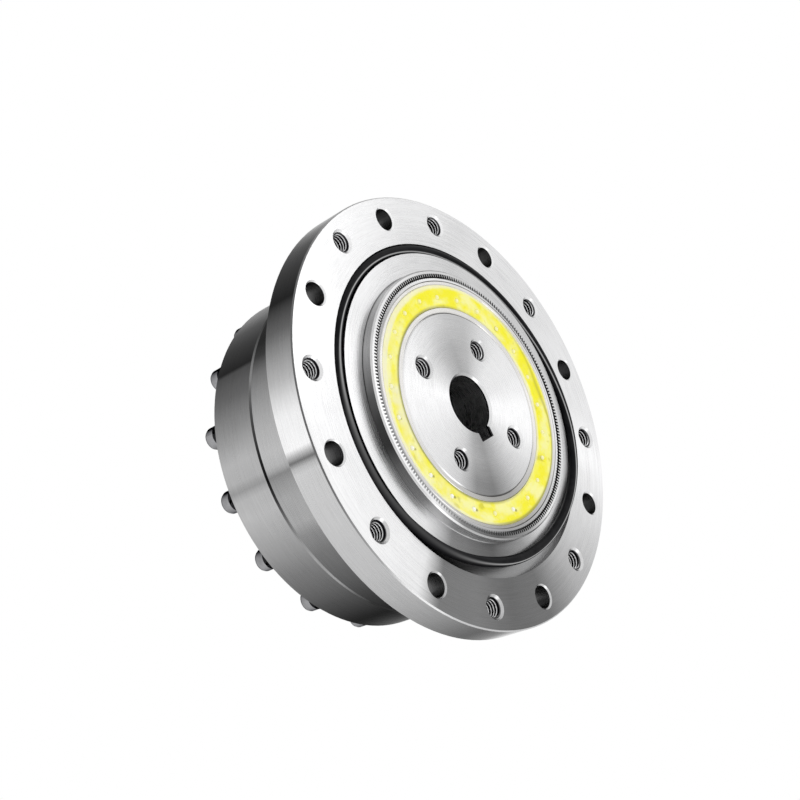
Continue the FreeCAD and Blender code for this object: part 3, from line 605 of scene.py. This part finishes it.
def easedRoutes(degrees, stops, easing):
    # for each value of the stops, straight runs between them round the full circle, then smoothed by
    # a bell that is `easing` degrees wide: each value becomes sum(value * bell) / sum(bell)
    keys, *columns = np.array(stops).T
    apart = (degrees[:, None] - degrees[None, :] + 180) % 360 - 180
    bell = np.exp(-(apart / easing) ** 2)
    total = bell.sum(1)
    return [(bell @ np.interp(degrees, keys, column, period=360) / total)[:, None] for column in columns]


def looseRing(look):
    # the section is a circle of the cord's radius in the plane through the axis, and its shade, a painted
    # highlight line, is strength * exp(-((angle round the section - place) / width)^2)
    low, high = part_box("input_o_ring")
    cord = (high.z - low.z) / 2
    degrees = np.linspace(0, 360, look["steps"], endpoint=False)
    centre, lift = easedRoutes(degrees, look["route"], look["easing"])
    around = np.linspace(0, fullTurn, look["sides"], endpoint=False)
    a, s = np.meshgrid(np.radians(degrees), around, indexing="ij")
    radius = centre * mm + cord * np.cos(s)
    height = flangeFace + lift * mm + cord * np.sin(s)
    place, depth, width = easedRoutes(degrees, look["line"], look["easing"])
    shade = depth * np.exp(-((s - np.radians(place)) / np.radians(width)) ** 2)
    return np.stack([radius * np.cos(a), radius * np.sin(a), height], -1), shade


ringPoints, ringShade = looseRing(faceRingLook)
ringFaces = gridFaces(faceRingLook["steps"], faceRingLook["sides"], True, True)
faceRing = addPiece("faceRing", ringPoints, ringFaces, ringRubber, "housing",
                    shades={"shade": ringShade})
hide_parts("input_o_ring")
print("stage: loose face ring")


# Threads: a sleeve in each tapped hole, its inner wall a helix
threadLook = {
    "sides": 48,
    "stepsPerTurn": 12,
    "depthShare": 0.62,          # thread depth as a share of the pitch
    "wall": 0.03,                # mm between the hole's wall and the thread
    "outer": 0.009,              # mm between the hole's wall and the sleeve's outer side
    "fade": 0.5,                 # turns over which the thread rises at the mouth
    "litDepth": 2.6,             # mm down from the mouth that the light reaches
    "litShare": 0.6,
}


def threadSleeve(major, pitch, low, high, look):
    # r = major - wall - depth share * pitch * ridge * fade, with fade falling to 0 at the mouth,
    # ridge = 1.25 (1 - |2 f - 1|) - 0.1 held between 0 and 1, and f the fraction of
    # height / pitch - angle / turn: a ridge that climbs one pitch in each turn.
    # The last two rows are the smooth outer wall. The shade is painted light and shade: ridge^1.5 * fade,
    # and near the mouth at least lit share * (1 - depth / lit depth)^3.
    rows = int(math.ceil((high - low) / pitch * look["stepsPerTurn"])) + 1
    z = np.linspace(low, high, rows)
    angle = np.linspace(0, fullTurn, look["sides"], endpoint=False)
    zz, aa = np.meshgrid(z, angle, indexing="ij")
    phase = (zz / pitch - aa / fullTurn) % 1.0
    ridge = np.clip(1.25 * (1 - np.abs(2 * phase - 1)) - 0.1, 0, 1)
    fade = np.clip((high - zz) / (look["fade"] * pitch), 0, 1)
    radius = major - look["wall"] * mm - look["depthShare"] * pitch * ridge * fade
    inner = np.stack([radius * np.cos(aa), radius * np.sin(aa), zz], -1)
    outerRadius = np.full(look["sides"], major - look["outer"] * mm)
    rim = np.stack([outerRadius * np.cos(angle), outerRadius * np.sin(angle)], -1)
    top = np.concatenate([rim, np.full((look["sides"], 1), high)], 1)[None]
    bottom = np.concatenate([rim, np.full((look["sides"], 1), low)], 1)[None]
    depth = np.clip((high - zz) / (look["litDepth"] * mm), 0, 1)
    light = np.maximum(ridge ** 1.5 * fade, look["litShare"] * (1 - depth) ** 3)
    shade = np.concatenate([light, np.ones((2, look["sides"]))])
    return np.concatenate([inner, top, bottom]), shade


def sleevesAround(sleeve, circle, count, firstDegrees):
    # copies of one sleeve, moved out to the hole circle and turned about the axis
    turns = np.radians(firstDegrees + 360 / count * np.arange(count))
    x = sleeve[..., 0] + circle / 2
    y = sleeve[..., 1]
    z = np.broadcast_to(sleeve[..., 2], (count,) + sleeve.shape[:2])
    cosine = np.cos(turns)[:, None, None]
    sine = np.sin(turns)[:, None, None]
    return np.stack([x * cosine - y * sine, x * sine + y * cosine, z], -1)


def sleeveFaces(sleeve, count):
    rows, columns = sleeve.shape[:2]
    return repeated(gridFaces(rows, columns, True, True)[:, ::-1], rows * columns, count)


def threadMaterial():
    # painted light and shade: bright crests, dark grooves, lighter near the mouth
    material, tree, surface = newMaterial("threadSteel")
    ridge = shadeOf(tree, "shade")
    dark = (0.004, 0.004, 0.005, 1)
    bright = (0.78, 0.78, 0.79, 1)
    colour = mixOf(tree, rescale(tree, ridge, 0.40, 1.0, 0, 1, True), dark, bright)
    tree.links.new(colour, surface.inputs["Base Color"])
    tree.links.new(colour, surface.inputs["Specular Tint"])
    surface.inputs["Metallic"].default_value = 1.0
    surface.inputs["Roughness"].default_value = 0.24
    return material


threadSteel = threadMaterial()


def addThreads(name, thread, ends, holes, body):
    # thread gives the hole's radius and the pitch, ends the lowest and highest point, and holes the
    # diameter of the hole circle, the count and the degrees of the first hole
    major, pitch = thread
    low, high = ends
    circle, count, firstDegrees = holes
    sleeve, shade = threadSleeve(major * mm, pitch * mm, low, high, threadLook)
    addPiece(name, sleevesAround(sleeve, circle * mm, count, firstDegrees), sleeveFaces(sleeve, count),
             threadSteel, body, smooth=False,
             shades={"shade": np.tile(shade.reshape(-1), count)})


fiveMmThread = (2.5, 0.8)
eightMmThread = (4.0, 1.25)
belowMouth = 0.5 * mm
addThreads("flangeThreads", fiveMmThread, (flangeBack + 0.3 * mm, flangeFace - belowMouth),
           (96.0, 8, 22.5), "housing")
addThreads("plugThreads", fiveMmThread, (plugFace - 9.4 * mm, plugFace - belowMouth),
           (32.0, 4, 45.0), "wave_generator")
addThreads("outputThreads", eightMmThread, (0.4 * mm, 11.8 * mm), (42.0, 8, 22.5),
           "output")
print("stage: threads")


# Grease: packed between the races over the cage, with a dent over each ball
greaseLook = {
    "steps": 920,
    "rows": 30,
    "wave": 0.262,               # mm, the oval of the races
    "gap": 0.02,                 # mm off the inner race
    "width": 5.52,               # mm from race to race
    "base": -0.3,                # mm from the cage's face
    "fill": 0.02,                # mm under the plug's face at the inner race
    "lip": 0.15,                 # mm under the outer race's face
    "bowl": 0.10,                # mm, depth between the races
    "lumps": 0.14,               # mm
    "balls": 23,
    "firstBall": 124.0,          # degrees from +X
    "dentAt": 26.7,              # mm from the axis
    "dentRadius": 0.85,
    "dentDepth": 0.50,
    "shadeShift": (0.45, 0.66),  # mm, to the side of each dent that the light misses
    "shadeRadius": 0.48,
    "beadRows": 7,
    "beadSides": 16,
    "beadRadius": 0.60,
    "beadRise": 0.8,             # height as a share of the radius
    "beadSink": 0.34,            # mm from the plug's face down to the middle of each bead
    "easing": 6.0,
    # degrees from +X, share of the way out to the outer race, depth and width of the painted fold shade
    "foldShade": [(-30, 0.98, 0.0, 0.04), (-12, 0.96, 0.9, 0.06), (15, 0.95, 1.0, 0.07), (40, 0.97, 1.0, 0.04),
             (60, 0.965, 0.9, 0.035), (72, 0.92, 0.8, 0.045), (79, 0.80, 0.55, 0.10),
             (86, 0.72, 0.55, 0.11), (100, 0.84, 0.45, 0.06), (120, 0.95, 0.45, 0.04),
             (138, 0.97, 0.0, 0.04)],
    "innerWidth": 0.08,          # the painted shade line along the inner race, and two edges, as shares of the width
    "ragged": 0.05,
    "filmSoft": 0.14,
    # degrees from +X, and how dark the painted shade line along the inner race is there
    "innerLine": [(100, 0.0), (150, 0.3), (180, 0.7), (205, 1.0), (320, 1.0), (350, 0.6), (30, 0.1)],
    # degrees from +X, and how far the pale film reaches in from the outer and out from the inner race
    "film": [(0, 0.0, 0.0), (40, 0.02, 0.05), (70, 0.02, 0.16), (95, 0.05, 0.20), (120, 0.10, 0.02),
             (160, 0.12, 0.0), (190, 0.20, 0.0), (225, 0.30, 0.0), (250, 0.26, 0.02), (280, 0.14, 0.02),
             (320, 0.10, 0.0)],
    # degrees from +X, and how pale the whole width is there
    "haze": [(0, 0.0), (185, 0.0), (205, 0.05), (228, 0.18), (250, 0.50), (272, 0.42), (292, 0.30),
             (312, 0.22), (335, 0.0)],
    # degrees from +X, and how strong the bead's painted glint is there, from a pale spot to a white drop
    "glint": [(14, 0.3), (61, 0.25), (77, 0.45), (100, 0.2), (140, 0.3), (180, 0.2), (236, 0.3),
              (250, 0.55), (265, 0.7), (281, 0.85), (296, 0.9), (312, 1.0), (328, 1.0), (343, 0.25),
              (359, 1.0)],
}


def smoothNoise(angle, across, seed):
    # the sum over n of sin(n angle + slant * across + phase) cos(k across + phase) / n^0.35, with
    # seeded slants, phases and k, scaled to lie between about -1 and 1
    chance = np.random.default_rng(seed)
    total = np.zeros_like(angle)
    for count in (3, 5, 8, 13, 21, 34, 47, 61):
        phase = chance.uniform(0, fullTurn, 2)
        total += np.sin(count * angle + phase[0] + 2.2 * across * chance.uniform(-1, 1)) \
            * np.cos(across * chance.uniform(1, 5) + phase[1]) / count ** 0.35
    return total / 2.2


def ballAngles(look):
    return np.radians(look["firstBall"] + 360 / look["balls"] * np.arange(look["balls"]))


def glintStrength(look):
    keys, values = np.array(look["glint"]).T
    return np.interp(np.degrees(ballAngles(look)) % 360, keys, values, period=360)


def ovalRadius(radius, angle, look):
    # the wave: radius + wave * cos(2 (angle - major axis)), all in mm
    return radius + look["wave"] * np.cos(2 * (angle - majorAxis))


def greaseSurface(look):
    # c runs from 0 at the inner race to 1 at the outer one. The height is the plug's face - fill
    # + rise * c^1.5 - bowl * hump + lumps * noise * sqrt(hump), with hump = 4 c (1 - c), less a dent
    # over each ball: depth * exp(-(distance / dent radius)^2). The last two rows close it underneath.
    innerRace = radiusOf("flex_bearing_inner_race") / mm + 0.5 * look["wave"] + look["gap"]
    outerRace = innerRace + look["width"]
    angle = np.linspace(0, fullTurn, look["steps"], endpoint=False)
    across = np.linspace(0, 1, look["rows"])
    a, c = np.meshgrid(angle, across, indexing="ij")
    radius = ovalRadius(innerRace + (outerRace - innerRace) * c, a, look)
    rise = (raceFace - plugFace) / mm - look["lip"]
    hump = 4 * c * (1 - c)
    height = plugFace / mm - look["fill"] + rise * c ** 1.5 - look["bowl"] * hump \
        + look["lumps"] * smoothNoise(a, c, 11) * hump ** 0.5
    x = radius * np.cos(a)
    y = radius * np.sin(a)
    dent = np.zeros_like(height)
    dark = np.zeros_like(height)
    for turn, glint in zip(ballAngles(look), glintStrength(look)):
        ring = ovalRadius(look["dentAt"], turn, look)
        toX = x - ring * np.cos(turn)
        toY = y - ring * np.sin(turn)
        dent += np.exp(-(toX ** 2 + toY ** 2) / look["dentRadius"] ** 2)
        shiftX, shiftY = look["shadeShift"]
        # painted shade beside each dent, as strong as its bead's painted glint
        dark += glint * np.exp(-((toX - shiftX) ** 2 + (toY - shiftY) ** 2) / look["shadeRadius"] ** 2)
    height -= look["dentDepth"] * dent
    # the fold shade is painted shade, a dark line that wanders towards the outer race,
    # depth * exp(-((c - place) / width)^2); a thin line of painted shade follows the inner race, falling
    # from 1 to 0 between half and three halves of its width
    degrees = np.degrees(angle)
    foldShadeAt, foldShadeDepth, foldShadeWidth = easedRoutes(degrees, look["foldShade"], look["easing"])
    olive = foldShadeDepth * np.exp(-((c - foldShadeAt) / foldShadeWidth) ** 2)
    [lineDepth] = easedRoutes(degrees, look["innerLine"], look["easing"])
    olive += lineDepth * np.clip(1.5 - c / look["innerWidth"], 0, 1)
    # the film: 1 at the race, falling to 0 a little past its reach, with a ragged edge
    ragged = look["ragged"] * smoothNoise(a, c, 23)
    outerReach, innerReach = easedRoutes(degrees, look["film"], look["easing"])
    film = np.clip((outerReach + ragged - (1 - c)) / look["filmSoft"] + 0.5, 0, 1)
    film += np.clip((innerReach + ragged - c) / look["filmSoft"] + 0.5, 0, 1)
    # the haze comes and goes in patches: haze * (1 + 2.2 noise), the bracket held between 0 and 2
    [haze] = easedRoutes(degrees, look["haze"], look["easing"])
    film += haze * np.clip(1 + 2.2 * smoothNoise(a, c, 31), 0, 2)
    top = np.stack([x, y, height], -1) * mm
    under = top[:, [-1, 0]].copy()
    under[..., 2] = cageFace + look["base"] * mm
    closing = np.zeros((look["steps"], 2))
    shades = {"shade": dark, "olive": olive, "film": np.clip(film, 0, 1)}
    return np.concatenate([top, under], 1), {key: np.concatenate([values, closing], 1)
                                             for key, values in shades.items()}


def greaseMaterial():
    # yellow with paler and darker streaks, then the pale film, then painted shade: the fold shade and the
    # line along the inner race, and the side of each dent that the light misses
    material, tree, surface = newMaterial("greaseYellow")
    polar = polarOf(tree)
    place = vectorOf(tree, polar["x"], polar["y"], polar["z"])
    cloud = noiseOf(tree, place, 150.0, 3.0, 0.5)
    streak = lineNoise(tree, polar, polar["radius"], 420.0, 4.0, 0.0)
    blend = mathOf(tree, "ADD", mathOf(tree, "MULTIPLY", cloud, 0.6),
                   mathOf(tree, "MULTIPLY", streak, 0.4))
    deep = (0.93, 0.86, 0.022, 1)
    pale = (0.95, 0.92, 0.36, 1)
    darkStreak = (0.66, 0.61, 0.030, 1)
    colour = mixOf(tree, rescale(tree, blend, 0.44, 0.62, 0, 1, True), deep, pale)
    # darker streaks round the axis
    darkStreaks = lineNoise(tree, polar, polar["radius"], 260.0, 7.0, 4.0, 2.0)
    colour = mixOf(tree, rescale(tree, darkStreaks, 0.62, 0.72, 0, 0.8, True), colour, darkStreak)
    film = mathOf(tree, "MULTIPLY", shadeOf(tree, "film"), 0.85)
    colour = mixOf(tree, film, colour, (0.90, 0.88, 0.62, 1))
    # painted shade: the fold shade and the line along the inner race, in olive
    olive = mathOf(tree, "MULTIPLY", shadeOf(tree, "olive"), 0.9)
    colour = mixOf(tree, olive, colour, (0.33, 0.32, 0.05, 1))
    # painted shade on the side of each dent that the light misses
    dent = rescale(tree, shadeOf(tree, "shade"), 0.3, 0.9, 0, 0.8, True)
    colour = mixOf(tree, dent, colour, (0.26, 0.25, 0.06, 1))
    tree.links.new(colour, surface.inputs["Base Color"])
    tree.links.new(rescale(tree, cloud, 0.3, 0.7, 0.20, 0.36), surface.inputs["Roughness"])
    surface.inputs["Specular IOR Level"].default_value = 0.2
    surface.inputs["Subsurface Weight"].default_value = 0.3
    surface.inputs["Subsurface Radius"].default_value = (0.0012, 0.0011, 0.0002)
    addBump(tree, surface, noiseOf(tree, place, 800.0, 3.0, 0.5), 0.35, 0.10)
    return material


greaseYellow = greaseMaterial()
greasePoints, greaseShades = greaseSurface(greaseLook)
greaseFaces = gridFaces(greaseLook["steps"], greaseLook["rows"] + 2, True, True)
addPiece("bearingGrease", greasePoints, greaseFaces, greaseYellow, "wave_generator",
         shades=greaseShades)


def beadField(look):
    # a small glossy bead in each dent, pale yellow to white, the white a painted glint: a dome with the
    # radius size * cos(u) at the height rise * size * sin(u), a little flat and open underneath
    up = np.linspace(0, math.pi / 2 * 0.98, look["beadRows"])
    turn = np.linspace(0, fullTurn, look["beadSides"], endpoint=False)
    u, t = np.meshgrid(up, turn, indexing="ij")
    size = look["beadRadius"] * mm
    high = size * look["beadRise"]
    dome = np.stack([size * np.cos(u) * np.cos(t), size * np.cos(u) * np.sin(t), high * np.sin(u)], -1)
    at = ballAngles(look)
    ring = ovalRadius(look["dentAt"], at, look) * mm
    foot = np.full_like(at, plugFace - look["beadSink"] * mm)
    centres = np.stack([ring * np.cos(at), ring * np.sin(at), foot], -1)
    points = dome[None] + centres[:, None, None, :]
    perBead = look["beadRows"] * look["beadSides"]
    faces = gridFaces(look["beadRows"], look["beadSides"], False, True)
    return points, repeated(faces, perBead, look["balls"]), np.repeat(glintStrength(look), perBead)


def beadGlintMaterial():
    # pale yellow to white by the painted glint's strength; the white is a painted glint
    material, tree, surface = newMaterial("oilGlint")
    glint = shadeOf(tree, "shade")
    yellow = (0.95, 0.91, 0.34, 1)
    tree.links.new(mixOf(tree, glint, yellow, (0.95, 0.95, 0.88, 1)), surface.inputs["Base Color"])
    surface.inputs["Roughness"].default_value = 0.06
    tree.links.new(mathOf(tree, "MULTIPLY", glint, 0.6), surface.inputs["Coat Weight"])
    return material


beadPoints, beadFaces, beadGlint = beadField(greaseLook)
addPiece("oilBeads", beadPoints, beadFaces, beadGlintMaterial(), "wave_generator",
         shades={"shade": beadGlint})
print("stage: grease and beads")


# Floor, backdrop and soft studio light
def seenOf(tree):
    # 1 where the camera looks straight at it, in a mirror or through something, 0 where it only lights
    path = addNode(tree, "ShaderNodeLightPath")
    seen = mathOf(tree, "MAXIMUM", path.outputs["Is Camera Ray"], path.outputs["Is Glossy Ray"])
    return mathOf(tree, "MAXIMUM", seen, path.outputs["Is Transmission Ray"])


def paleFloor():
    # white to the camera and in reflections, plain pale to everything else
    material, tree, surface = newMaterial("paleFloor")
    surface.inputs["Base Color"].default_value = (0.86, 0.86, 0.86, 1)
    surface.inputs["Roughness"].default_value = 0.9
    glow = addNode(tree, "ShaderNodeEmission")
    glow.inputs["Color"].default_value = (1, 1, 1, 1)
    mix = addNode(tree, "ShaderNodeMixShader")
    tree.links.new(seenOf(tree), mix.inputs[0])
    tree.links.new(surface.outputs[0], mix.inputs[1])
    tree.links.new(glow.outputs[0], mix.inputs[2])
    tree.links.new(mix.outputs[0], tree.nodes["Material Output"].inputs["Surface"])
    return material


def addFloor():
    half = 4.0                                       # metres
    mesh = bpy.data.meshes.new("floor")
    corners = [(-half, -half, 0), (half, -half, 0), (half, half, 0), (-half, half, 0)]
    mesh.from_pydata(corners, [], [(0, 1, 2, 3)])
    mesh.materials.append(paleFloor())
    floor = bpy.data.objects.new("floor", mesh)
    bpy.context.scene.collection.objects.link(floor)


worldLook = {"seen": 1.0, "light": 0.90}


def addWorld(look):
    # white where it is seen, mirrored or looked through; a little dimmer as a light
    world = bpy.data.worlds.new("studio")
    world.use_nodes = True
    tree = world.node_tree
    ground = tree.nodes["Background"]
    ground.inputs["Color"].default_value = (1, 1, 1, 1)
    strength = rescale(tree, seenOf(tree), 0, 1, look["light"], look["seen"])
    tree.links.new(strength, ground.inputs["Strength"])
    bpy.context.scene.world = world


lampLook = {
    "key": ((-0.35, 0.55, 0.75), 0.45, 1.0),         # place in metres, size, watts
    "side": ((0.65, -0.15, 0.45), 0.35, 0.5),
}
lampTarget = (0, 0, 0.03)


def addLamps(looks):
    for name, (place, size, power) in looks.items():
        lamp = bpy.data.lights.new(name, "AREA")
        lamp.size = size
        lamp.energy = power
        away = np.array(place) - np.array(lampTarget)
        back = away / np.linalg.norm(away)
        side = np.cross([0, 0, 1.0], back)
        side = side / np.linalg.norm(side)
        hang(name, lamp, side, np.cross(back, side), back, place)


addFloor()
addWorld(worldLook)
addLamps(lampLook)
print("stage: floor and light")
